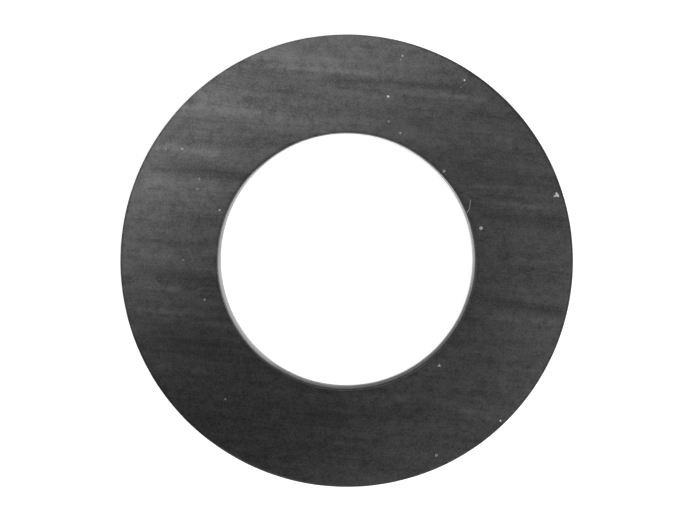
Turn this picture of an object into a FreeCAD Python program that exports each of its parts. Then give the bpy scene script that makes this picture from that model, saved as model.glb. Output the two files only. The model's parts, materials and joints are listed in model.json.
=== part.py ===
"""Flat rubber sealing ring for a pipe flange, cut from sheet with a round die.

Lengths are millimetres. The ring lies flat, as it comes to rest. The origin is the centre
of the bore on the lower face, and +Z runs up through the bore, so the ring is the same all
the way round.
"""

import FreeCAD, Part
import Sketcher
import os

PARTS_FOLDER = "parts"
RING_NAME = "sealing_ring"
SHEET_NAME = "Sizes"
TOLERANCE = 1e-6

# Driving dimensions: the alias of each cell, its value and what it is on the real ring
SIZES = [
    ("outer_diameter", 107.0, "outside of the ring, just inside the flange's bolts"),
    ("bore_diameter", 60.5, "hole for the flow, just over the pipe's own outside"),
    ("sheet_thickness", 3.0, "thickness of the rubber sheet that the ring is cut from"),
    ("bore_edge_radius", 0.6, "rounding of the bore's upper edge, where the die drew the sheet in"),
    ("outer_edge_radius", 0.2, "rounding of the outer upper edge, which is crisper"),
    ("exit_side_radius", 0.1, "rounding of the lower edges, where the die came through"),
]


def make_size_sheet(document):
    """Put the driving dimensions into a spreadsheet, one row each, and return it."""
    sheet = document.addObject("Spreadsheet::Sheet", SHEET_NAME)
    for row, (alias, value, meaning) in enumerate(SIZES, start=1):
        sheet.set(f"A{row}", alias)
        sheet.set(f"B{row}", str(value))
        sheet.setAlias(f"B{row}", alias)
        sheet.set(f"C{row}", meaning)
    document.recompute()
    return sheet


def bind(feature, size_name, alias):
    """Tie one size of a feature, such as its Length, to a cell of the sheet."""
    feature.setExpression(size_name, f"{SHEET_NAME}.{alias}")


def origin_plane(body, role):
    """Return the body's own origin plane of that role, such as XY_Plane."""
    return next(item for item in body.Origin.OriginFeatures if item.Role == role)


def add_circle(sketch, sheet, alias):
    """Draw a circle about the sketch's origin, with its diameter tied to a cell."""
    diameter = getattr(sheet, alias)
    outline = Part.Circle(FreeCAD.Vector(0, 0, 0), FreeCAD.Vector(0, 0, 1), diameter / 2)
    circle = sketch.addGeometry(outline, False)
    # A constraint names a circle's centre as point 3, and the sketch's origin as -1, 1
    sketch.addConstraint(Sketcher.Constraint("Coincident", circle, 3, -1, 1))
    size = sketch.addConstraint(Sketcher.Constraint("Diameter", circle, diameter))
    sketch.renameConstraint(size, alias)
    bind(sketch, f"Constraints.{alias}", alias)


def circles_at(shape, height, diameters):
    """Name the circular edges of a shape at one height, as Edge1 and so on.

    Only circles of one of the given diameters are named, so each edge is found by what it is.
    """
    names = []
    for number, edge in enumerate(shape.Edges, start=1):
        low, high = edge.BoundBox.ZMin, edge.BoundBox.ZMax
        if max(abs(low - height), abs(high - height)) > TOLERANCE:
            continue
        if any(abs(2 * edge.Curve.Radius - diameter) < TOLERANCE for diameter in diameters):
            names.append(f"Edge{number}")
    return names


def round_edges(body, name, height, diameters, alias):
    """Round the circles at one height of the body, with the radius tied to the sheet."""
    base = body.Tip
    fillet = body.newObject("PartDesign::Fillet", name)
    fillet.Base = (base, circles_at(base.Shape, height, diameters))
    bind(fillet, "Radius", alias)
    body.Document.recompute()


def make_sealing_ring(document, sheet):
    """Build the ring: the blank that the die cuts from the sheet, then its four edges."""
    body = document.addObject("PartDesign::Body", "SealingRing")
    body.Label = RING_NAME
    body.Placement = FreeCAD.Placement()

    outline = body.newObject("Sketcher::SketchObject", "DieOutline")
    outline.AttachmentSupport = [(origin_plane(body, "XY_Plane"), "")]
    outline.MapMode = "FlatFace"
    add_circle(outline, sheet, "outer_diameter")
    add_circle(outline, sheet, "bore_diameter")

    blank = body.newObject("PartDesign::Pad", "DieCutBlank")
    blank.Profile = outline
    bind(blank, "Length", "sheet_thickness")
    document.recompute()

    top, outer, bore = sheet.sheet_thickness, sheet.outer_diameter, sheet.bore_diameter
    round_edges(body, "BoreDieEdge", top, [bore], "bore_edge_radius")
    round_edges(body, "OuterDieEdge", top, [outer], "outer_edge_radius")
    round_edges(body, "ExitSideEdges", 0.0, [outer, bore], "exit_side_radius")
    return body


def check_document(document, bodies):
    """Stop if any object failed to compute, or a body isn't one sound solid."""
    for item in document.Objects:
        faults = {"Invalid", "Error"} & set(item.State)
        if faults:
            raise RuntimeError(f"{item.Label} is {', '.join(sorted(faults))}")
    for body in bodies:
        shape = body.Shape
        if shape.isNull() or not shape.isValid() or len(shape.Solids) != 1:
            raise RuntimeError(f"{body.Label} is not one sound solid")


def export_bodies(bodies):
    """Write each body to a STEP file named after its label, and print what it measures."""
    os.makedirs(PARTS_FOLDER, exist_ok=True)
    for body in bodies:
        body.Shape.exportStep(f"{PARTS_FOLDER}/{body.Label}.step")
        box = body.Shape.optimalBoundingBox(False)
        extent = f"{box.XLength:.2f} x {box.YLength:.2f} x {box.ZLength:.2f} mm"
        print(f"{body.Label}: {extent}, {body.Shape.Volume:.1f} mm3")


def main():
    """Make the document, build the ring in it, check it and write it out."""
    document = FreeCAD.newDocument("SealingRing")
    sheet = make_size_sheet(document)
    bodies = [make_sealing_ring(document, sheet)]
    document.recompute()
    check_document(document, bodies)
    export_bodies(bodies)


main()
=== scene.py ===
"""Looks of a rubber sealing ring: matt black sheet rubber, cut with a die, lying on a white floor.

Lengths are metres in the ring's own frame. The origin is the centre of the bore on the lower
face, +Z runs up through the bore, and the photograph's right and top are +X and +Y.
"""

from __future__ import annotations

import json
import logging
import math
from dataclasses import dataclass
from enum import Enum
from typing import Any, Sequence

import bpy
import numpy as np
from mathutils import Matrix, Vector


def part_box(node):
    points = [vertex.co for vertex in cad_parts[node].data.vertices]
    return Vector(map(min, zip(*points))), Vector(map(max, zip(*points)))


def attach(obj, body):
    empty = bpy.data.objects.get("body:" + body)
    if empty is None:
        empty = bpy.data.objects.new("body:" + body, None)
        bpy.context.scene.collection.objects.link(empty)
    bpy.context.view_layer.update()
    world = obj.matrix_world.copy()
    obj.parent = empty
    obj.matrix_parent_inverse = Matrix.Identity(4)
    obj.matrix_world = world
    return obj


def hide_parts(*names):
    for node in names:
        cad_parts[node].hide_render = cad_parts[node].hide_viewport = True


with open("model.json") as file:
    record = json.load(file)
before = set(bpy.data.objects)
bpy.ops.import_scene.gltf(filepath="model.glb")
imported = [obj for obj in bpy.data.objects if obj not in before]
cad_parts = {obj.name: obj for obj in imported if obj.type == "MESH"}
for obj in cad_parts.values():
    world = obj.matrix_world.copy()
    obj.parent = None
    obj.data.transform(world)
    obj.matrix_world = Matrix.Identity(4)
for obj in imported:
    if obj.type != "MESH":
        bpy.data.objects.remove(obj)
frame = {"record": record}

log = logging.getLogger("sealing_ring")

MM = 0.001
NODE = "sealing_ring"
BODY = "root"
STREAK_SLOPE = math.radians(-5.0)

Pixel = tuple[float, float]
Triple = tuple[float, float, float]


class PointValue(Enum):
    """A number that a mesh holds at each of its points, by the attribute's name."""

    CUT = "cut"
    TONE = "tone"


class Ray(Enum):
    """A kind of ray that a shader tells from the others, by the node's output."""

    CAMERA = "Is Camera Ray"
    GLOSSY = "Is Glossy Ray"
    CLEAR = "Is Transmission Ray"


@dataclass(frozen=True)
class RingSize:
    """The ring's own sizes: radii and thickness from the frame, edge roundings as it was cut."""

    outer: float
    bore: float
    thickness: float
    outer_rounding: float = 0.2 * MM
    worn_reach: float = 0.9 * MM
    worn_drop: float = 0.3 * MM
    bore_rounding: float = 0.45 * MM
    crisp_rounding: float = 0.2 * MM
    exit_rounding: float = 0.1 * MM

    @classmethod
    def from_frame(cls) -> RingSize:
        """Read the radii from the record's mounts and the thickness from the node's box.

        Returns:
            The sizes of the ring that was packed.
        """
        radii = {mount["name"]: mount["dims"].get("r_mm") for mount in frame["record"]["mounts"]}
        low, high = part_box(NODE)
        return cls(radii["outer_edge"] * MM, radii["bore"] * MM, high.z - low.z)


@dataclass(frozen=True)
class PhotoFrame:
    """Where the photograph shows the ring, in the pixels of its own frame."""

    width: int = 680
    height: int = 510
    ring_centre: Pixel = (346.2, 260.4)
    ring_radius: float = 226.7
    under_lens: Pixel = (339.5, 178.0)

    def on_face(self, pixels: Any, size: RingSize) -> np.ndarray:
        """Turn pixels into places on the upper face, by one scale about the ring's centre.

        Args:
            pixels: One pixel or an array of them, x then y.
            size: The ring, whose outer radius sets the scale.

        Returns:
            x and y in metres, in the same arrangement.
        """
        offset = np.asarray(pixels, float) - np.array(self.ring_centre)
        return offset * (1.0, -1.0) * (size.outer / self.ring_radius)


@dataclass(frozen=True)
class Sector:
    """A stretch of the way round the ring, over which something about its edge changes.

    It has its middle's azimuth in degrees, the cosines of the angle from there at which it
    starts and is full, and how strong it is. A strength below 0 takes away.
    """

    azimuth: float
    start: float
    full: float
    strength: float = 1.0

    def share(self, angle: np.ndarray) -> np.ndarray:
        """How strong the sector is at an angle: strength x t squared x (3 - 2 t).

        There t is how far the cosine has come from where the sector starts to where it is
        full, held between 0 and 1.

        Args:
            angle: Angles round the ring, in radians from +X towards +Y.

        Returns:
            The strength at each angle, in the same arrangement.
        """
        cosine = np.cos(angle - math.radians(self.azimuth))
        t = np.clip((cosine - self.start) / (self.full - self.start), 0.0, 1.0)
        return self.strength * t * t * (3.0 - 2.0 * t)


# Shader maths as Python expressions


@dataclass(frozen=True)
class Value:
    """One number that varies over a surface: an output socket with Python's operators."""

    board: NodeBoard
    socket: bpy.types.NodeSocket

    def __add__(self, other: Value | float) -> Value:
        """Sum of two values."""
        return self.board.math("ADD", self, other)

    def __radd__(self, other: float) -> Value:
        """Sum of a number and a value."""
        return self.board.math("ADD", other, self)

    def __sub__(self, other: Value | float) -> Value:
        """Difference of two values."""
        return self.board.math("SUBTRACT", self, other)

    def __rsub__(self, other: float) -> Value:
        """A number less a value."""
        return self.board.math("SUBTRACT", other, self)

    def __mul__(self, other: Value | float) -> Value:
        """Product of two values."""
        return self.board.math("MULTIPLY", self, other)

    def __rmul__(self, other: float) -> Value:
        """Product of a number and a value."""
        return self.board.math("MULTIPLY", other, self)

    def __neg__(self) -> Value:
        """The value with its sign turned."""
        return self * -1.0


class NodeBoard:
    """The nodes of one material or of the world, with one method that adds any of them."""

    def __init__(self, owner: bpy.types.Material | bpy.types.World) -> None:
        """Empty the owner's node tree.

        Args:
            owner: The material or world whose nodes are built.
        """
        owner.use_nodes = True
        self.tree = owner.node_tree
        self.tree.nodes.clear()

    def add(
        self, kind: str, settings: dict[str, Any] | None = None, sockets: dict | None = None
    ) -> bpy.types.Node:
        """Add a node, set its settings and then fill its sockets.

        Args:
            kind: The node's type, such as ShaderNodeMath.
            settings: Attributes of the node, such as operation.
            sockets: Values or links, by the socket's name or number.

        Returns:
            The new node.
        """
        node = self.tree.nodes.new(kind)
        for name, setting in (settings or {}).items():
            setattr(node, name, setting)
        for name, content in (sockets or {}).items():
            if isinstance(content, Value):
                content = content.socket
            if isinstance(content, bpy.types.NodeSocket):
                self.tree.links.new(content, node.inputs[name])
            else:
                node.inputs[name].default_value = content
        return node

    def math(self, operation: str, *operands: Value | float, clamp: bool = False) -> Value:
        """Work out one sum on values.

        Args:
            operation: The Math node's operation.
            operands: Values or numbers, in the operation's order.
            clamp: Whether the result is held between 0 and 1.

        Returns:
            The result.
        """
        settings = {"operation": operation, "use_clamp": clamp}
        node = self.add("ShaderNodeMath", settings, dict(enumerate(operands)))
        return Value(self, node.outputs[0])

    def vector(self, operation: str, *operands: Any) -> bpy.types.NodeSocket:
        """Work out one sum on vectors, which gives a vector."""
        settings = {"operation": operation}
        return self.add("ShaderNodeVectorMath", settings, dict(enumerate(operands))).outputs["Vector"]

    def reach(self, operation: str, *operands: Any) -> Value:
        """Work out the LENGTH or DOT_PRODUCT of vectors, which is a number."""
        settings = {"operation": operation}
        node = self.add("ShaderNodeVectorMath", settings, dict(enumerate(operands)))
        return Value(self, node.outputs["Value"])

    def upward(self, vector: bpy.types.NodeSocket) -> Value:
        """Read how far a vector goes up."""
        return Value(self, self.add("ShaderNodeSeparateXYZ", sockets={0: vector}).outputs["Z"])

    def ramp(self, value: Value, source: Sequence[float], target: Sequence[float]) -> Value:
        """Carry a value from one range to another, with a smooth start and end.

        Args:
            value: What is carried over.
            source: Its range, low then high.
            target: The range it is carried to.

        Returns:
            The value in the new range, held inside it.
        """
        ends = dict(zip(("From Min", "From Max", "To Min", "To Max"), (*source, *target)))
        settings = {"interpolation_type": "SMOOTHSTEP"}
        node = self.add("ShaderNodeMapRange", settings, {"Value": value, **ends})
        return Value(self, node.outputs["Result"])

    def noise(self, place: bpy.types.NodeSocket, **sockets: float) -> Value:
        """Read fractal noise at a place, centred on 0 and about 1 from side to side.

        Args:
            place: The coordinates that the noise is read at.
            sockets: The noise's own sockets, such as Scale, Detail or Roughness.

        Returns:
            The noise.
        """
        node = self.add("ShaderNodeTexNoise", sockets={"Vector": place, **sockets})
        return (Value(self, node.outputs["Fac"]) - 0.5) * 2.0

    def stretch(
        self, place: bpy.types.NodeSocket, lengths: Triple, turn: float = 0.0
    ) -> bpy.types.NodeSocket:
        """Measure a place in units of its own along each axis.

        Args:
            place: The coordinates to measure.
            lengths: How long a unit is along x, y and z, in metres.
            turn: How far the axes are turned about +Z, in radians.

        Returns:
            The place in those units.
        """
        node = self.add("ShaderNodeMapping", {"vector_type": "TEXTURE"}, {
            "Vector": place, "Rotation": (0.0, 0.0, turn), "Scale": lengths,
        })
        return node.outputs["Vector"]

    def attribute(self, value: PointValue) -> Value:
        """Read one number that the mesh holds at each point."""
        settings = {"attribute_name": value.value, "attribute_type": "GEOMETRY"}
        return Value(self, self.add("ShaderNodeAttribute", settings).outputs["Fac"])

    def mix_colour(self, share: Value, start: Any, end: Any) -> bpy.types.NodeSocket:
        """Blend two colours by a value.

        Args:
            share: 0 for the first colour and 1 for the second.
            start: The first colour, as linear numbers or another blend's socket.
            end: The second colour, in the same way.

        Returns:
            The colour's output socket.
        """
        settings = {"data_type": "RGBA", "clamp_factor": True}
        node = self.add("ShaderNodeMix", settings, {"Factor": share})
        for name, colour in (("A", start), ("B", end)):
            socket = next(s for s in node.inputs if s.name == name and s.type == "RGBA")
            if isinstance(colour, bpy.types.NodeSocket):
                self.tree.links.new(colour, socket)
            else:
                socket.default_value = (*colour, 1.0)
        return next(s for s in node.outputs if s.type == "RGBA")


# Finishes


@dataclass(frozen=True)
class Streak:
    """One faint straight mark across the sheet, mostly a streak that the calender left.

    A few are broader patches, and one along the bore's edge is painted shade. Its ends and
    breadth are in the photograph's pixels, and its shade says how much lighter or darker it
    is than the sheet, as a share.
    """

    start: Pixel
    end: Pixel
    breadth: float
    shade: float


STREAKS_AND_SHADE = (
    Streak((238, 54), (361, 66), 6.5, 0.11),
    Streak((262, 65), (450, 79), 2.6, 0.28),
    Streak((238, 73), (361, 82), 5.0, -0.13),
    Streak((330, 78), (484, 88), 3.0, -0.18),
    Streak((242, 85), (300, 92), 8.0, -0.15),
    Streak((434, 94), (492, 99), 2.3, 0.42),
    Streak((186, 106), (309, 120), 4.6, 0.30),
    Streak((300, 120), (386, 121), 3.6, 0.22),
    Streak((184, 94), (246, 101), 8.0, 0.22),
    Streak((184, 118), (270, 128), 4.0, -0.20),
    # Painted shade: a darker band along the bore's upper-left edge, where the face reflects less light
    Streak((222, 148), (312, 130), 8.0, -0.14),
    Streak((148, 145), (232, 156), 3.8, 0.34),
    Streak((162, 163), (250, 176), 6.5, -0.46),
    Streak((143, 180), (228, 191), 7.5, 0.15),
    Streak((165, 214), (218, 221), 6.0, -0.18),
    Streak((134, 240), (192, 245), 4.0, -0.09),
    Streak((128, 250), (214, 261), 5.0, 0.17),
    Streak((132, 267), (216, 281), 5.0, -0.29),
    Streak((126, 282), (196, 294), 6.0, 0.17),
    Streak((134, 308), (214, 315), 2.4, 0.42),
    Streak((206, 323), (234, 326), 3.0, 0.34),
    Streak((140, 332), (226, 346), 13.0, -0.22),
    Streak((150, 363), (220, 371), 4.2, 0.27),
    Streak((250, 377), (290, 385), 5.0, 0.18),
    Streak((362, 395), (410, 399), 4.0, 0.28),
    Streak((298, 414), (346, 422), 9.0, -0.18),
    Streak((376, 412), (424, 417), 4.5, -0.09),
    Streak((280, 442), (366, 451), 5.0, -0.15),
    Streak((446, 166), (556, 183), 8.0, -0.20),
    Streak((455, 185.5), (502, 187.5), 1.2, 0.40),
    Streak((480, 202), (568, 209), 3.2, 0.27),
    Streak((474, 212), (568, 223), 5.0, -0.22),
    Streak((484, 135), (522, 146), 9.0, 0.13),
    Streak((406, 118), (430, 124), 6.0, -0.24),
    Streak((508, 260), (570, 263), 3.6, 0.22),
    Streak((476, 298), (568, 313), 4.5, -0.26),
    Streak((476, 315), (564, 323), 3.6, 0.28),
    Streak((458, 311), (482, 326), 8.0, -0.20),
    Streak((498, 368), (540, 371), 3.2, 0.20),
    Streak((458, 410), (494, 417), 3.2, 0.19),
    Streak((384, 399), (458, 352), 9.0, 0.18),
    Streak((557, 180), (557, 340), 15.0, -0.12),
    Streak((292, 50), (352, 52), 6.0, -0.12),
    Streak((398, 128), (446, 150), 9.0, 0.12),
)


@dataclass(frozen=True)
class Spot:
    """The point that is shaded, and where it is on the ring.

    It has its place, the level direction and distance to it from the bore's axis, its height
    and how far it is cut wall.
    """

    place: bpy.types.NodeSocket
    heading: bpy.types.NodeSocket
    radius: Value
    height: Value
    cut: Value

    @classmethod
    def on(cls, board: NodeBoard) -> Spot:
        """Read the point from the Object coordinates and the mesh's cut value.

        Args:
            board: The nodes to add to.

        Returns:
            The point.
        """
        place = board.add("ShaderNodeTexCoord").outputs["Object"]
        level = board.vector("MULTIPLY", place, (1.0, 1.0, 0.0))
        return cls(
            place, board.vector("NORMALIZE", level), board.reach("LENGTH", level),
            board.upward(place), board.attribute(PointValue.CUT),
        )


@dataclass(frozen=True)
class SheetRubber:
    """Black calendered sheet rubber: straight streaks on its faces, smoother where it is cut.

    A film of bloom lightens the colour and a thin coat gives the sheen. Both follow the
    streaks, the fine lines and a mottle, and the grain shows more in the film. Over some
    sectors the bore's upper edge is burnished, the film is thinned just inside the outer rim
    as painted shade, and the foot of the bore's wall is painted pale, a painted reflection
    of the white floor beside it.
    """

    colour: Triple = (0.0063, 0.0066, 0.0064)
    bloom: Triple = (0.0197, 0.0197, 0.0198)
    # Grey of the painted reflection of the white floor at the foot of the bore's wall
    pale_foot_reflection: Triple = (0.32, 0.32, 0.32)
    specular_level: float = 0.36
    coat_roughness: float = 0.3
    coat_ior: float = 1.6

    face_roughness: float = 0.31
    wall_roughness: float = 0.36
    burnished_roughness: float = 0.16
    edge_roughness: float = 1.2
    grain_roughness: float = 0.03
    drag_roughness: float = 0.08

    film_share: float = 0.5
    line_share: float = 0.55
    mottle_share: float = 0.95
    grain_share: float = 2.0
    grain_sheen: float = 0.25
    drag_share: float = 0.3
    patchiness: float = 2.0

    grain_size: float = 0.34 * MM
    mottle_size: float = 3.0 * MM
    line_size: Triple = (60.0 * MM, 4.8 * MM, 4.8 * MM)
    drag_size: Triple = (0.5 * MM, 0.5 * MM, 9.0 * MM)
    nudge_size: float = 3.0 * MM
    nudge: Triple = (3.0 * MM, 1.2 * MM, 0.0)

    mottle_height: float = 0.004 * MM
    grain_to_mottle: float = 0.1
    drag_depth: float = 0.02 * MM

    burnished: tuple[Sector, ...] = (
        Sector(208.0, 0.85, 0.95, 0.9),
        Sector(160.0, 0.86, 0.95, 0.6),
        Sector(16.0, 0.82, 0.97, 0.65),
        Sector(298.0, 0.80, 0.95, -0.35),
    )
    burnish_spread: float = 0.4
    # Painted shade: sectors where the film is thinned just inside the outer rim, a darker line there
    rim_shade: tuple[Sector, ...] = (
        Sector(10.0, 0.4, 0.9, 0.60),
        Sector(190.0, 0.5, 0.95, 0.34),
        Sector(110.0, 0.2, 0.7, 0.14),
    )
    rim_shade_from: float = 0.7 * MM
    rim_shade_full: float = 0.4 * MM
    # Sectors where the foot of the bore's wall gets the painted floor reflection
    foot: tuple[Sector, ...] = (Sector(290.0, -0.2, 0.5),)
    foot_reach: float = 0.5

    def build(self, photo: PhotoFrame, size: RingSize) -> bpy.types.Material:
        """Make the material.

        The edge roughness counts as cut x (1 - cut), so that it is felt on a rounding alone,
        and the burnish as cut to the power of its spread, so that it reaches onto the face.

        Args:
            photo: Turns the streaks' pixels into places on the face.
            size: The ring that the streaks lie on.

        Returns:
            The material, which reads Object coordinates and the mesh's cut value.
        """
        material = bpy.data.materials.new("black_sheet_rubber")
        board = NodeBoard(material)
        spot = Spot.on(board)
        cut = spot.cut
        face = 1.0 - cut

        grain = board.noise(spot.place, Scale=1 / self.grain_size, Detail=1.0)
        mottle = board.noise(spot.place, Scale=1 / self.mottle_size, Detail=4.0, Roughness=1.0)
        along = board.stretch(spot.place, self.line_size, STREAK_SLOPE)
        lines = board.noise(along, Scale=1.0, Detail=3.0, Roughness=0.95)
        down = board.stretch(spot.place, self.drag_size)
        drag = board.noise(down, Scale=1.0, Detail=3.0, Roughness=0.6) * cut
        marks = self.marks(board, spot, photo, size) * (mottle * self.patchiness + 1.0)
        burnish = self.sectors(board, spot, self.burnished)
        # Painted shade just inside the outer rim
        rim_shade = self.painted_rim_shade(board, spot, size)
        # Painted reflection of the white floor at the foot of the bore's wall
        foot = self.painted_foot_reflection(board, spot, size)

        broad = marks + lines * self.line_share + mottle * self.mottle_share
        middle = self.film_share - rim_shade
        film = (broad + grain * self.grain_share) * face + middle
        sheen = (broad + grain * self.grain_sheen) * face + middle
        share = board.math("ADD", film, drag * self.drag_share, clamp=True)
        colour = board.mix_colour(share, self.colour, self.bloom)
        # The foot of the bore's wall turns pale: a painted reflection of the white floor
        colour = board.mix_colour(foot, colour, self.pale_foot_reflection)
        roughness = (
            self.face_roughness + grain * self.grain_roughness
            + cut * (self.wall_roughness - self.face_roughness) + drag * self.drag_roughness
            + cut * burnish * (self.burnished_roughness - self.wall_roughness)
            + cut * face * self.edge_roughness
        )
        polish = board.math("POWER", cut, self.burnish_spread) * burnish
        coat = board.math("ADD", sheen * face + foot, polish, clamp=True)
        height = (grain * self.grain_to_mottle + mottle) * self.mottle_height
        height = height + drag * self.drag_depth
        bump = board.add("ShaderNodeBump", sockets={
            "Strength": 1.0, "Distance": 1.0, "Height": height,
        })
        shader = board.add("ShaderNodeBsdfPrincipled", sockets={
            "Base Color": colour,
            "Roughness": roughness,
            "Specular IOR Level": self.specular_level,
            "Coat Weight": coat,
            "Coat Roughness": self.coat_roughness,
            "Coat IOR": self.coat_ior,
            "Normal": bump.outputs["Normal"],
        })
        board.add("ShaderNodeOutputMaterial", sockets={"Surface": shader.outputs[0]})
        return material

    def marks(self, board: NodeBoard, spot: Spot, photo: PhotoFrame, size: RingSize) -> Value:
        """Add up the streaks, each shade x exp(-across squared - along to the fourth).

        Across is counted in the streak's own breadths, and along in its half lengths from
        its middle. The place is first nudged by a noise, so that no edge is ruled.

        Args:
            board: The nodes to add to.
            spot: The point that is shaded.
            photo: Turns the streaks' pixels into places on the face.
            size: The ring that the streaks lie on.

        Returns:
            How much lighter the sheet is there, as a share.
        """
        wander = board.add("ShaderNodeTexNoise", sockets={
            "Vector": spot.place, "Scale": 1 / self.nudge_size, "Detail": 3.0, "Roughness": 0.8,
        })
        centred = board.vector("SUBTRACT", wander.outputs["Color"], (0.5, 0.5, 0.5))
        nudged = board.vector("MULTIPLY_ADD", centred, self.nudge, spot.place)
        pixel = size.outer / photo.ring_radius
        total: Value | float = 0.0
        for streak in STREAKS_AND_SHADE:
            start, end = photo.on_face([streak.start, streak.end], size)
            middle, half = (start + end) / 2, (end - start) / 2
            length = float(np.linalg.norm(half))
            along_axis = half / length**2
            across_axis = np.array([-half[1], half[0]]) / (length * streak.breadth * pixel)
            along, across = (
                board.reach("DOT_PRODUCT", nudged, (*axis, 0.0)) - float(axis @ middle)
                for axis in (along_axis, across_axis)
            )
            along_squared = along * along
            fall = across * across + along_squared * along_squared
            total = total + board.math("EXPONENT", -fall) * streak.shade
        return total

    def painted_rim_shade(self, board: NodeBoard, spot: Spot, size: RingSize) -> Value:
        """Work out how much of the film is thinned near the outer rim, as painted shade.

        Args:
            board: The nodes to add to.
            spot: The point that is shaded.
            size: The ring, whose rim the two distances count from.

        Returns:
            The share of the film that is missing.
        """
        source = (size.outer - self.rim_shade_from, size.outer - self.rim_shade_full)
        near = board.ramp(spot.radius, source, (0.0, 1.0))
        return near * self.sectors(board, spot, self.rim_shade)

    def painted_foot_reflection(self, board: NodeBoard, spot: Spot, size: RingSize) -> Value:
        """Work out the painted reflection of the white floor at the bore's foot, from the
        bore's lower edge up to its reach.

        Args:
            board: The nodes to add to.
            spot: The point that is shaded.
            size: The ring, whose thickness the reach is a share of.

        Returns:
            The painted reflection's share, 0 on the faces and on the outer wall.
        """
        low = board.ramp(spot.height, (0.0, self.foot_reach * size.thickness), (1.0, 0.0))
        inside = board.ramp(spot.radius, (size.bore, size.outer), (1.0, 0.0))
        return low * spot.cut * inside * self.sectors(board, spot, self.foot)

    @staticmethod
    def sectors(board: NodeBoard, spot: Spot, sectors: Sequence[Sector]) -> Value:
        """Add up some sectors' shares, as Sector.share works them out.

        The cosine is the dot product of the spot's heading with the sector's direction.

        Args:
            board: The nodes to add to.
            spot: The point that is shaded.
            sectors: The sectors that count.

        Returns:
            The sum, 0 outside all of them.
        """
        total: Value | float = 0.0
        for sector in sectors:
            turn = math.radians(sector.azimuth)
            axis = (math.cos(turn), math.sin(turn), 0.0)
            cosine = board.reach("DOT_PRODUCT", spot.heading, axis)
            total = total + board.ramp(cosine, (sector.start, sector.full), (0.0, sector.strength))
        return total


@dataclass(frozen=True)
class PaleDust:
    """White lint and dust: pale where it lies thick, dark where the rubber shows through."""

    light: Triple = (0.64, 0.64, 0.63)
    dark: Triple = (0.03, 0.03, 0.03)
    lump_size: float = 0.35 * MM
    lump_contrast: float = 0.4
    roughness: float = 0.9

    def build(self) -> bpy.types.Material:
        """Make the material, whose greys mix by the mesh's tone and a fine noise.

        Returns:
            The material, which reads Object coordinates and the mesh's tone value.
        """
        material = bpy.data.materials.new("pale_lint")
        board = NodeBoard(material)
        place = board.add("ShaderNodeTexCoord").outputs["Object"]
        tone = board.attribute(PointValue.TONE)
        lumps = board.noise(place, Scale=1 / self.lump_size, Detail=3.0)
        share = tone * (lumps * self.lump_contrast + 1.0)
        colour = board.mix_colour(share, self.dark, self.light)
        shader = board.add("ShaderNodeBsdfPrincipled", sockets={
            "Base Color": colour, "Roughness": self.roughness,
        })
        board.add("ShaderNodeOutputMaterial", sockets={"Surface": shader.outputs[0]})
        return material


# Meshes


def grid_faces(rows: int, columns: int, close_rows: bool, close_columns: bool) -> np.ndarray:
    """Quads of a grid whose point (i, j) is number i x columns + j.

    Args:
        rows: Points along the first parameter.
        columns: Points along the second parameter.
        close_rows: Whether the last row joins the first.
        close_columns: Whether the last column joins the first.

    Returns:
        One row of four point numbers for each quad, turned so that the first parameter's
        direction crossed with the second's is outward.
    """
    i = np.arange(rows if close_rows else rows - 1)
    j = np.arange(columns if close_columns else columns - 1)
    i, j = (axis.ravel() for axis in np.meshgrid(i, j, indexing="ij"))
    next_i, next_j = (i + 1) % rows, (j + 1) % columns
    row, next_row = i * columns, next_i * columns
    return np.stack([row + j, next_row + j, next_row + next_j, row + next_j], axis=1)


def fan_faces(tip: int, start: np.ndarray, end: np.ndarray) -> np.ndarray:
    """Triangles that share a tip, each from its start point to its end point."""
    return np.stack([np.full(len(start), tip), start, end], axis=1)


def mesh_object(
    name: str, points: np.ndarray, faces: Sequence, material: bpy.types.Material
) -> bpy.types.Object:
    """Put points and faces into a new smooth-shaded object in the scene.

    Args:
        name: The object's name.
        points: One x, y, z row for each point, in metres.
        faces: Point numbers of each face.
        material: What the object is made of.

    Returns:
        The new object, at the origin.
    """
    mesh = bpy.data.meshes.new(name)
    mesh.from_pydata(points.tolist(), [], [list(map(int, face)) for face in faces])
    mesh.polygons.foreach_set("use_smooth", np.ones(len(mesh.polygons), bool))
    mesh.materials.append(material)
    mesh.update()
    piece = bpy.data.objects.new(name, mesh)
    bpy.context.scene.collection.objects.link(piece)
    return piece


def set_point_values(piece: bpy.types.Object, value: PointValue, values: np.ndarray) -> None:
    """Give a mesh one number for each of its points, which its material reads."""
    attribute = piece.data.attributes.new(value.value, "FLOAT", "POINT")
    attribute.data.foreach_set("value", np.ascontiguousarray(values, np.float32).ravel())


@dataclass(frozen=True)
class Ripple:
    """One slow wave over the sheet: its length, its phase and the length of its bends."""

    length: float
    phase: float
    bend_length: float


@dataclass(frozen=True)
class CutWave:
    """One wave of the cut walls: how often it comes round the ring, its phase and its share."""

    count: int
    phase: float
    share: float


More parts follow.
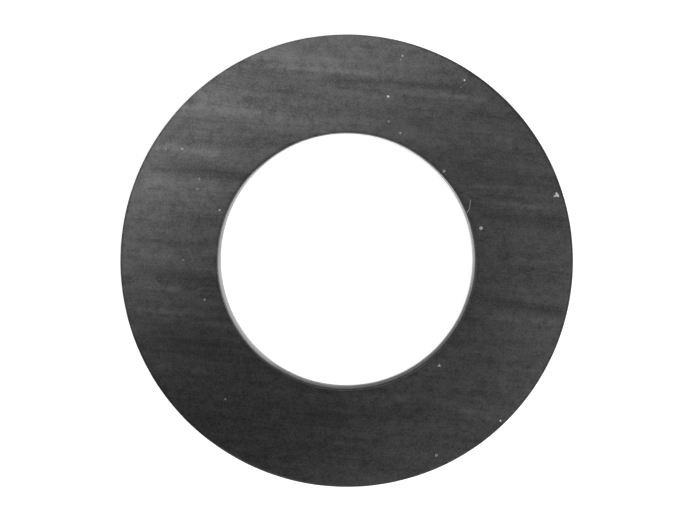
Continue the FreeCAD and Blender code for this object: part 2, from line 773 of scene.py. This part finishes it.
@dataclass
class SealingRing:
    """The ring itself: one closed section with four rounded edges, carried round the bore.

    The die drew the sheet in less over some sectors of the bore, so the upper edge is crisper
    there, and over some the bore's wall leans outward towards its top. Over others the outer
    upper edge is worn away, further across the face than down the wall.
    """

    size: RingSize
    material: bpy.types.Material
    around: int = 768
    face_steps: int = 34
    wall_steps: int = 12
    rounding_steps: int = 8
    ripple_depth: float = 0.010 * MM
    ripple_bend: float = 0.9
    ripples: tuple[Ripple, ...] = (
        Ripple(7.3 * MM, 0.4, 61.0 * MM),
        Ripple(4.1 * MM, 2.1, 47.0 * MM),
        Ripple(2.7 * MM, 4.4, 83.0 * MM),
    )
    wall_wave_depth: float = 0.030 * MM
    wall_waves: tuple[CutWave, ...] = (
        CutWave(23, 0.7, 0.5), CutWave(58, 2.9, 0.3), CutWave(131, 1.3, 0.2),
    )
    crisp: tuple[Sector, ...] = (Sector(83.0, 0.62, 0.82), Sector(180.0, 0.55, 0.8, 0.6))
    leans: tuple[Sector, ...] = (
        Sector(185.0, 0.5, 0.8, 0.20 * MM),
        Sector(6.0, 0.82, 0.97, 0.07 * MM),
    )
    worn: tuple[Sector, ...] = (Sector(262.0, 0.80, 0.93, 0.8), Sector(242.0, 0.994, 0.999, 0.2))
    lean_reach: float = 4.0 * MM

    def section(
        self, bore_rounding: float, outer_reach: float, outer_drop: float
    ) -> tuple[np.ndarray, np.ndarray, np.ndarray]:
        """Work out the section's outline as radius, height and how far it is cut wall.

        The outline runs up the outer wall, in along the upper face, down the bore and out
        along the lower face. Each rounding is a quarter ellipse, (centre + reach x cos a,
        centre + drop x sin a), and there the surface turns from wall to face with sin a.

        Args:
            bore_rounding: Radius of the bore's upper edge, in metres.
            outer_reach: How far in the outer upper edge's rounding starts, in metres.
            outer_drop: How far down the wall that rounding ends, in metres.

        Returns:
            Radius and height in metres, and cut from 0 on a face to 1 on a wall.
        """
        size, under = self.size, self.size.exit_rounding
        corners = (
            (size.outer - outer_reach, size.thickness - outer_drop, outer_reach, outer_drop, 0.0),
            (size.bore + bore_rounding, size.thickness - bore_rounding,
             bore_rounding, bore_rounding, 90.0),
            (size.bore + under, under, under, under, 180.0),
            (size.outer - under, under, under, under, 270.0),
        )
        runs = (self.face_steps, self.wall_steps, self.face_steps, self.wall_steps)
        radius, height, cut = [], [], []
        for number, steps in enumerate(runs):
            centre_r, centre_z, reach, drop, start = corners[number]
            turn = np.radians(start + np.linspace(0.0, 90.0, self.rounding_steps + 1))
            radius.append(centre_r + reach * np.cos(turn))
            height.append(centre_z + drop * np.sin(turn))
            cut.append(np.cos(turn) ** 2)
            after_r, after_z, after_reach, after_drop, leave = corners[(number + 1) % len(corners)]
            first = np.array([radius[-1][-1], height[-1][-1]])
            last = np.array([
                after_r + after_reach * math.cos(math.radians(leave)),
                after_z + after_drop * math.sin(math.radians(leave)),
            ])
            share = np.linspace(0.0, 1.0, steps + 1)[1:-1, None]
            straight = first + (last - first) * share
            radius.append(straight[:, 0])
            height.append(straight[:, 1])
            cut.append(np.full(len(straight), cut[-1][-1].round()))
        return np.concatenate(radius), np.concatenate(height), np.concatenate(cut)

    def ripple(self, x: np.ndarray, y: np.ndarray) -> np.ndarray:
        """Work out the depth of the sheet's own ripple, a sum of slow waves.

        Each wave is sin(2 pi across / length + phase + bend), where across is measured square
        to the streaks, and bend is a slower sine of the distance along them.

        Args:
            x: The points' x, in metres.
            y: Their y, in the same arrangement.

        Returns:
            The depth from 0 to 1, in the same arrangement.
        """
        along = x * np.cos(STREAK_SLOPE) + y * np.sin(STREAK_SLOPE)
        across = -x * np.sin(STREAK_SLOPE) + y * np.cos(STREAK_SLOPE)
        total = np.zeros_like(x)
        for wave in self.ripples:
            bend = self.ripple_bend * np.sin(2 * np.pi * along / wave.bend_length + wave.phase)
            total += np.sin(2 * np.pi * across / wave.length + wave.phase + bend)
        return 0.5 + total / (2 * len(self.ripples))

    def wall_wave(self, angle: np.ndarray) -> np.ndarray:
        """Depth of the cut's unevenness round the ring, from 0 to 1, a sum of sines."""
        sines = (wave.share * np.sin(wave.count * angle + wave.phase) for wave in self.wall_waves)
        return 0.5 + sum(sines) / 2

    def surface(self) -> tuple[np.ndarray, np.ndarray]:
        """Work out the surface: the point (angle, outline) is (r cos angle, r sin angle, z).

        The outline is the plain one, plus crisp x (crisp one - plain one) and worn x (worn
        one - plain one), with the sectors' shares. Near the bore it moves outward by
        lean x (height / thickness) squared x (1 - distance from the bore / reach). The faces
        then sink by the sheet's ripple and the walls by the cut's wave, both inward.

        Returns:
            x, y and z in metres for each angle and outline point, and how far each point is
            cut wall.
        """
        size = self.size
        plain_edge = (size.outer_rounding, size.outer_rounding)
        radius, height, cut = self.section(size.bore_rounding, *plain_edge)
        crisp_radius, crisp_height, _ = self.section(size.crisp_rounding, *plain_edge)
        worn_radius, worn_height, _ = self.section(
            size.bore_rounding, size.worn_reach, size.worn_drop
        )
        angle = np.linspace(0.0, 2 * np.pi, self.around, endpoint=False)
        a, c = np.meshgrid(angle, cut, indexing="ij")
        crisp = np.clip(sum(sector.share(a) for sector in self.crisp), 0.0, 1.0)
        worn = sum(sector.share(a) for sector in self.worn)
        r = radius + crisp * (crisp_radius - radius) + worn * (worn_radius - radius)
        z = height + crisp * (crisp_height - height) + worn * (worn_height - height)

        near = np.clip(1.0 - (r - size.bore) / self.lean_reach, 0.0, 1.0)
        lean = sum(sector.share(a) for sector in self.leans)
        r = r + lean * near * (z / size.thickness) ** 2
        outward = np.sign(r - (size.outer + size.bore) / 2)
        upward = np.sign(z - size.thickness / 2)
        ripple = self.ripple(r * np.cos(a), r * np.sin(a))
        z = z - upward * (1.0 - c) * self.ripple_depth * ripple
        r = r - outward * c * self.wall_wave_depth * self.wall_wave(a)
        return np.stack([r * np.cos(a), r * np.sin(a), z], axis=-1), c

    def build(self) -> bpy.types.Object:
        """Make the ring.

        Returns:
            The ring, riding on its body and standing for its solid.
        """
        points, cut = self.surface()
        faces = grid_faces(*cut.shape, close_rows=True, close_columns=True)
        ring = mesh_object("rubber_ring", points.reshape(-1, 3), faces, self.material)
        set_point_values(ring, PointValue.CUT, cut)
        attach(ring, BODY)
        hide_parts(NODE)
        return ring


@dataclass(frozen=True)
class Speck:
    """One grain of dust: where the photograph shows it, how broad, pale and lobed it is."""

    place: Pixel
    breadth: float
    tone: float
    lobes: float = 0.12
    turn: float = 0.0


SPECKS = (
    Speck((387.5, 95.9), 0.56, 1.0),
    Speck((555.9, 194.6), 1.12, 0.72, lobes=0.34, turn=90.0),
    Speck((480.3, 227.5), 0.86, 0.50, lobes=0.1),
    Speck((463.9, 79.7), 0.44, 0.95),
    Speck((401.9, 55.2), 0.56, 0.55),
    Speck((400.0, 59.1), 0.44, 0.33),
    Speck((181.6, 148.4), 0.76, 0.46),
    Speck((219.1, 209.6), 0.42, 0.70),
    Speck((443.3, 170.6), 0.72, 0.35, lobes=0.25),
    Speck((399.8, 132.5), 0.52, 0.46),
    Speck((388.2, 121.0), 0.50, 0.37),
    Speck((204.0, 299.2), 0.54, 0.24),
    Speck((224.8, 398.5), 0.52, 0.21),
    Speck((438.6, 365.0), 0.72, 0.42, lobes=0.3, turn=90.0),
    Speck((499.9, 420.1), 0.42, 1.0),
    Speck((435.7, 454.5), 0.72, 0.28),
    Speck((165.6, 148.0), 0.56, 0.35),
    Speck((198.7, 178.3), 0.62, 0.33, lobes=0.3, turn=180.0),
    Speck((197.0, 188.6), 0.70, 0.26),
    Speck((182.6, 259.5), 0.60, 0.20),
    Speck((147.8, 230.2), 0.54, 0.13),
    Speck((460.4, 86.6), 0.42, 0.16),
)


@dataclass
class LintSpecks:
    """The dust on the upper face: each grain a low lumpy dome, bedded in the rubber."""

    size: RingSize
    photo: PhotoFrame
    material: bpy.types.Material
    around: int = 20
    rings: int = 9
    flatness: float = 0.32
    lift: float = 0.375
    lump_counts: tuple[int, ...] = (2, 4, 5, 7)
    lump_depth: float = 0.05
    seed: int = 11

    def build(self) -> bpy.types.Object:
        """Make all the grains as one piece.

        On a grain, the point (a, b) is half its breadth x (lumps(a) cos a cos b, lumps(a)
        sin a cos b, flatness x sin b), where lumps(a) is 1 + lobes x cos 3(a - turn) + small
        sines. Both poles are single points. Its middle is lift x half its height up.

        Returns:
            The grains, riding on the ring's body.
        """
        rng = np.random.default_rng(self.seed)
        a = np.linspace(0.0, 2 * np.pi, self.around, endpoint=False)[:, None]
        b = np.linspace(-np.pi / 2, np.pi / 2, self.rings + 2)[None, 1:-1]
        points, faces = [], []
        for speck in SPECKS:
            lumps = 1.0 + speck.lobes * np.cos(3 * (a - math.radians(speck.turn)))
            for count in self.lump_counts:
                lumps = lumps + self.lump_depth * np.sin(count * a + rng.uniform(0, 2 * np.pi))
            half = speck.breadth * MM / 2
            half_height = half * self.flatness
            centre = np.array([
                *self.photo.on_face(speck.place, self.size),
                self.size.thickness + half_height * self.lift,
            ])
            shell = np.stack([
                half * lumps * np.cos(a) * np.cos(b),
                half * lumps * np.sin(a) * np.cos(b),
                half_height * np.sin(b) * np.ones_like(a),
            ], axis=-1).reshape(-1, 3)
            poles = np.array([[0, 0, -half_height], [0, 0, half_height]])
            points.append(np.concatenate([shell, poles]) + centre)
            faces += self.grain_faces((len(points) - 1) * len(points[0]))
        specks = mesh_object("lint_specks", np.concatenate(points), faces, self.material)
        tones = np.repeat([speck.tone for speck in SPECKS], len(points[0]))
        set_point_values(specks, PointValue.TONE, tones)
        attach(specks, BODY)
        return specks

    def grain_faces(self, first: int) -> list[Sequence[int]]:
        """Number the faces of one grain: quads, and a fan at each pole.

        Args:
            first: The number of the grain's first point.

        Returns:
            Point numbers of each face.
        """
        quads = grid_faces(self.around, self.rings, close_rows=True, close_columns=False) + first
        low_pole = first + self.around * self.rings
        starts = first + np.arange(self.around) * self.rings
        following = np.roll(starts, -1)
        last = self.rings - 1
        low_fan = fan_faces(low_pole, following, starts)
        high_fan = fan_faces(low_pole + 1, starts + last, following + last)
        return [*quads.tolist(), *low_fan.tolist(), *high_fan.tolist()]


@dataclass
class LintFibre:
    """The short hair of lint beside the bore, a fine tube along a smooth curve."""

    size: RingSize
    photo: PhotoFrame
    material: bpy.types.Material
    route: Sequence[Pixel] = (
        (470.2, 199.0), (469.6, 201.0), (469.4, 203.0), (469.3, 205.0),
        (468.9, 207.2), (468.0, 209.6), (466.5, 211.8),
    )
    tone: float = 0.6
    thickness: float = 0.12 * MM
    lift: float = 0.35
    arch: float = 0.05 * MM
    tip: float = 0.02
    steps: int = 60
    around: int = 10

    def centreline(self) -> np.ndarray:
        """Sample the route's cubic B-spline, whose point is the blend of four near route points.

        The blend at t is ((1-t)^3, 3t^3-6t^2+4, -3t^3+3t^2+3t+1, t^3) / 6, with the end
        points counted three times, so that the curve reaches them. Its height over the face
        is lift x thickness + arch x sin squared of pi x its share of the length.

        Returns:
            One x, y, z row for each step, in metres.
        """
        flat = self.photo.on_face(self.route, self.size)
        flat = np.concatenate([flat[:1], flat[:1], flat, flat[-1:], flat[-1:]])
        span = np.linspace(0.0, len(flat) - 3, self.steps)
        number = np.minimum(span.astype(int), len(flat) - 4)
        t = (span - number)[:, None]
        weights = (
            (1 - t) ** 3, 3 * t**3 - 6 * t**2 + 4, -3 * t**3 + 3 * t**2 + 3 * t + 1, t**3
        )
        line = sum(weight * flat[number + k] for k, weight in enumerate(weights)) / 6
        share = np.linspace(0.0, 1.0, self.steps)
        foot = self.size.thickness + self.thickness * self.lift
        return np.column_stack([line, foot + self.arch * np.sin(np.pi * share) ** 2])

    def build(self) -> bpy.types.Object:
        """Make the tube: centre + radius x (side cos a + up sin a).

        It is drawn in at both ends: the radius is half the thickness x the square root of
        1 - (2 share - 1) to the sixth, which is held at the tip's value or above.

        Returns:
            The fibre, riding on the ring's body.
        """
        line = self.centreline()
        ahead = np.gradient(line, axis=0)
        ahead /= np.linalg.norm(ahead, axis=1, keepdims=True)
        side = np.cross(ahead, (0.0, 0.0, 1.0))
        side /= np.linalg.norm(side, axis=1, keepdims=True)
        up = np.cross(side, ahead)
        share = np.linspace(0.0, 1.0, self.steps)
        radius = self.thickness / 2 * np.sqrt(np.clip(1 - (2 * share - 1) ** 6, self.tip, 1))
        a = np.linspace(0.0, 2 * np.pi, self.around, endpoint=False)
        ring = side[:, None] * np.cos(a)[None, :, None] + up[:, None] * np.sin(a)[None, :, None]
        shell = (line[:, None] + radius[:, None, None] * ring).reshape(-1, 3)
        points = np.concatenate([shell, line[:1], line[-1:]])
        quads = grid_faces(self.steps, self.around, close_rows=False, close_columns=True)
        here = np.arange(self.around)
        following = np.roll(here, -1)
        last = (self.steps - 1) * self.around
        start_cap = fan_faces(len(shell), here, following)
        end_cap = fan_faces(len(shell) + 1, last + following, last + here)
        faces = [*quads.tolist(), *start_cap.tolist(), *end_cap.tolist()]
        fibre = mesh_object("lint_fibre", points, faces, self.material)
        set_point_values(fibre, PointValue.TONE, np.full(len(points), self.tone))
        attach(fibre, BODY)
        return fibre


# Studio


@dataclass(frozen=True)
class SoftPanel:
    """A square softbox, by the way to it from the ring and how bright it is."""

    name: str
    azimuth: float
    off_zenith: float
    breadth: float
    brightness: float
    distance: float = 0.9

    def build(self) -> bpy.types.Object:
        """Make the light, facing the ring. Azimuth is counted from +X towards +Y, in degrees.

        The power is brightness x pi x area, which makes a panel of brightness 1 as bright to
        look at as a white floor in full light. The camera doesn't see the panel itself.

        Returns:
            The light.
        """
        light = bpy.data.lights.new(self.name, "AREA")
        light.shape = "SQUARE"
        light.size = self.breadth
        light.energy = self.brightness * math.pi * self.breadth**2
        turn, lean = math.radians(self.azimuth), math.radians(self.off_zenith)
        level = math.sin(lean)
        away = Vector((level * math.cos(turn), level * math.sin(turn), math.cos(lean)))
        panel = bpy.data.objects.new(self.name, light)
        panel.location = away * self.distance
        panel.rotation_euler = away.to_track_quat("Z", "Y").to_euler()
        panel.visible_camera = False
        bpy.context.scene.collection.objects.link(panel)
        return panel


@dataclass
class Studio:
    """White floor and surroundings, soft panels, and the photograph's camera."""

    size: RingSize
    photo: PhotoFrame
    panels: Sequence[SoftPanel] = (
        SoftPanel("window_panel", 112.0, 23.0, 0.58, 2.55),
        SoftPanel("left_panel", 179.0, 29.0, 0.36, 2.55),
        SoftPanel("right_panel", 14.0, 29.0, 0.60, 0.55),
        SoftPanel("front_panel", 300.0, 45.0, 0.70, 0.75),
        SoftPanel("low_left_panel", 214.0, 60.0, 0.60, 0.4),
        SoftPanel("low_front_panel", 260.0, 60.0, 0.60, 0.6),
        SoftPanel("low_right_panel", 350.0, 54.0, 0.70, 3.0),
    )
    lens_height: float = 145 * MM
    near_clip: float = 10 * MM
    sensor_width: float = 36.0
    floor_reach: float = 4.0
    floor_gap: float = 0.02 * MM
    floor_colour: Triple = (0.8, 0.8, 0.8)
    floor_glow: float = 0.6
    glow_reach: tuple[float, float] = (0.08, 0.3)
    ambient: float = 0.04
    overhead: float = 0.04
    horizon: float = 0.8
    horizon_reach: tuple[float, float] = (0.1, 0.65)

    def build(self) -> None:
        """Make the floor, the surroundings, the lights and the camera."""
        self.build_floor()
        self.build_surroundings()
        for panel in self.panels:
            panel.build()
        self.build_camera()
        bpy.context.scene.view_settings.view_transform = "Standard"

    @staticmethod
    def rays(board: NodeBoard) -> tuple[Value, Value]:
        """Tell the rays that see from those that carry light.

        Args:
            board: The nodes to add to.

        Returns:
            A value that is 1 for the eye's own rays, and one for mirrored and clear ones.
        """
        path = board.add("ShaderNodeLightPath")
        camera, glossy, clear = (Value(board, path.outputs[ray.value]) for ray in Ray)
        return camera, board.math("MAXIMUM", glossy, clear)

    def build_floor(self) -> None:
        """Make the floor: white in diffuse light, with a glow that can be seen but lights nothing.

        The glow is weak beside the ring, so that its shadow stays, and full further out.
        """
        material = bpy.data.materials.new("white_floor")
        board = NodeBoard(material)
        place = board.add("ShaderNodeTexCoord").outputs["Object"]
        glow = board.ramp(board.reach("LENGTH", place), self.glow_reach, (self.floor_glow, 1.0))
        seen = board.math("MAXIMUM", *self.rays(board))
        diffuse = board.add("ShaderNodeBsdfDiffuse", sockets={"Color": (*self.floor_colour, 1.0)})
        emission = board.add("ShaderNodeEmission", sockets={"Strength": glow * seen})
        both = board.add("ShaderNodeAddShader", sockets={0: diffuse.outputs[0], 1: emission.outputs[0]})
        board.add("ShaderNodeOutputMaterial", sockets={"Surface": both.outputs[0]})
        half = self.floor_reach / 2
        corners = np.array([[-half, -half], [half, -half], [half, half], [-half, half]])
        points = np.column_stack([corners, np.full(len(corners), -self.floor_gap)])
        mesh_object("floor", points, [[0, 1, 2, 3]], material)

    def build_surroundings(self) -> None:
        """Make the world: white to look at, dim as light, and dim overhead in reflections."""
        world = bpy.data.worlds.new("surroundings")
        bpy.context.scene.world = world
        board = NodeBoard(world)
        direction = board.add("ShaderNodeTexCoord").outputs["Generated"]
        ends = (self.horizon, self.overhead)
        reflected = board.ramp(board.upward(direction), self.horizon_reach, ends)
        camera, mirrored = self.rays(board)
        strength = self.ambient + camera * (1.0 - self.ambient) + mirrored * (reflected - self.ambient)
        background = board.add("ShaderNodeBackground", sockets={
            "Color": (1.0, 1.0, 1.0, 1.0), "Strength": strength,
        })
        board.add("ShaderNodeOutputWorld", sockets={"Surface": background.outputs[0]})

    def build_camera(self) -> None:
        """Place the camera so that the ring lies in the frame as in the photograph.

        It looks straight down from above the point below the lens, which is known from how
        much of the bore's wall shows on each side. Its focal length in pixels is the ring's
        radius in pixels x lens height / outer radius. The shift is the way from the point
        below the lens to the picture's middle, as a share of the picture's width.
        """
        photo, size = self.photo, self.size
        foot = photo.on_face(photo.under_lens, size)
        focal_pixels = photo.ring_radius * self.lens_height / size.outer
        picture_middle = np.array([photo.width - 1, photo.height - 1]) / 2
        shift = (picture_middle - photo.under_lens) * (1.0, -1.0) / photo.width

        data = bpy.data.cameras.new("camera")
        data.sensor_width = self.sensor_width
        data.lens = self.sensor_width * focal_pixels / photo.width
        data.shift_x, data.shift_y = shift.tolist()
        data.clip_start = self.near_clip
        camera = bpy.data.objects.new("camera", data)
        camera.matrix_world = Matrix.Translation((*foot, size.thickness + self.lens_height))
        bpy.context.scene.collection.objects.link(camera)
        bpy.context.scene.camera = camera
        log.info("camera: lens %.2f mm, shift %.4f %.4f", data.lens, data.shift_x, data.shift_y)


def main() -> None:
    logging.basicConfig(level=logging.INFO, format="%(name)s: %(message)s")
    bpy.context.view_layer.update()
    size = RingSize.from_frame()
    photo = PhotoFrame()
    lint = PaleDust().build()
    pieces = (
        SealingRing(size, SheetRubber().build(photo, size)).build(),
        LintSpecks(size, photo, lint).build(),
        LintFibre(size, photo, lint).build(),
    )
    for piece in pieces:
        log.info("%s: %d points", piece.name, len(piece.data.vertices))
    Studio(size, photo).build()


if __name__ == "__main__":
    main()
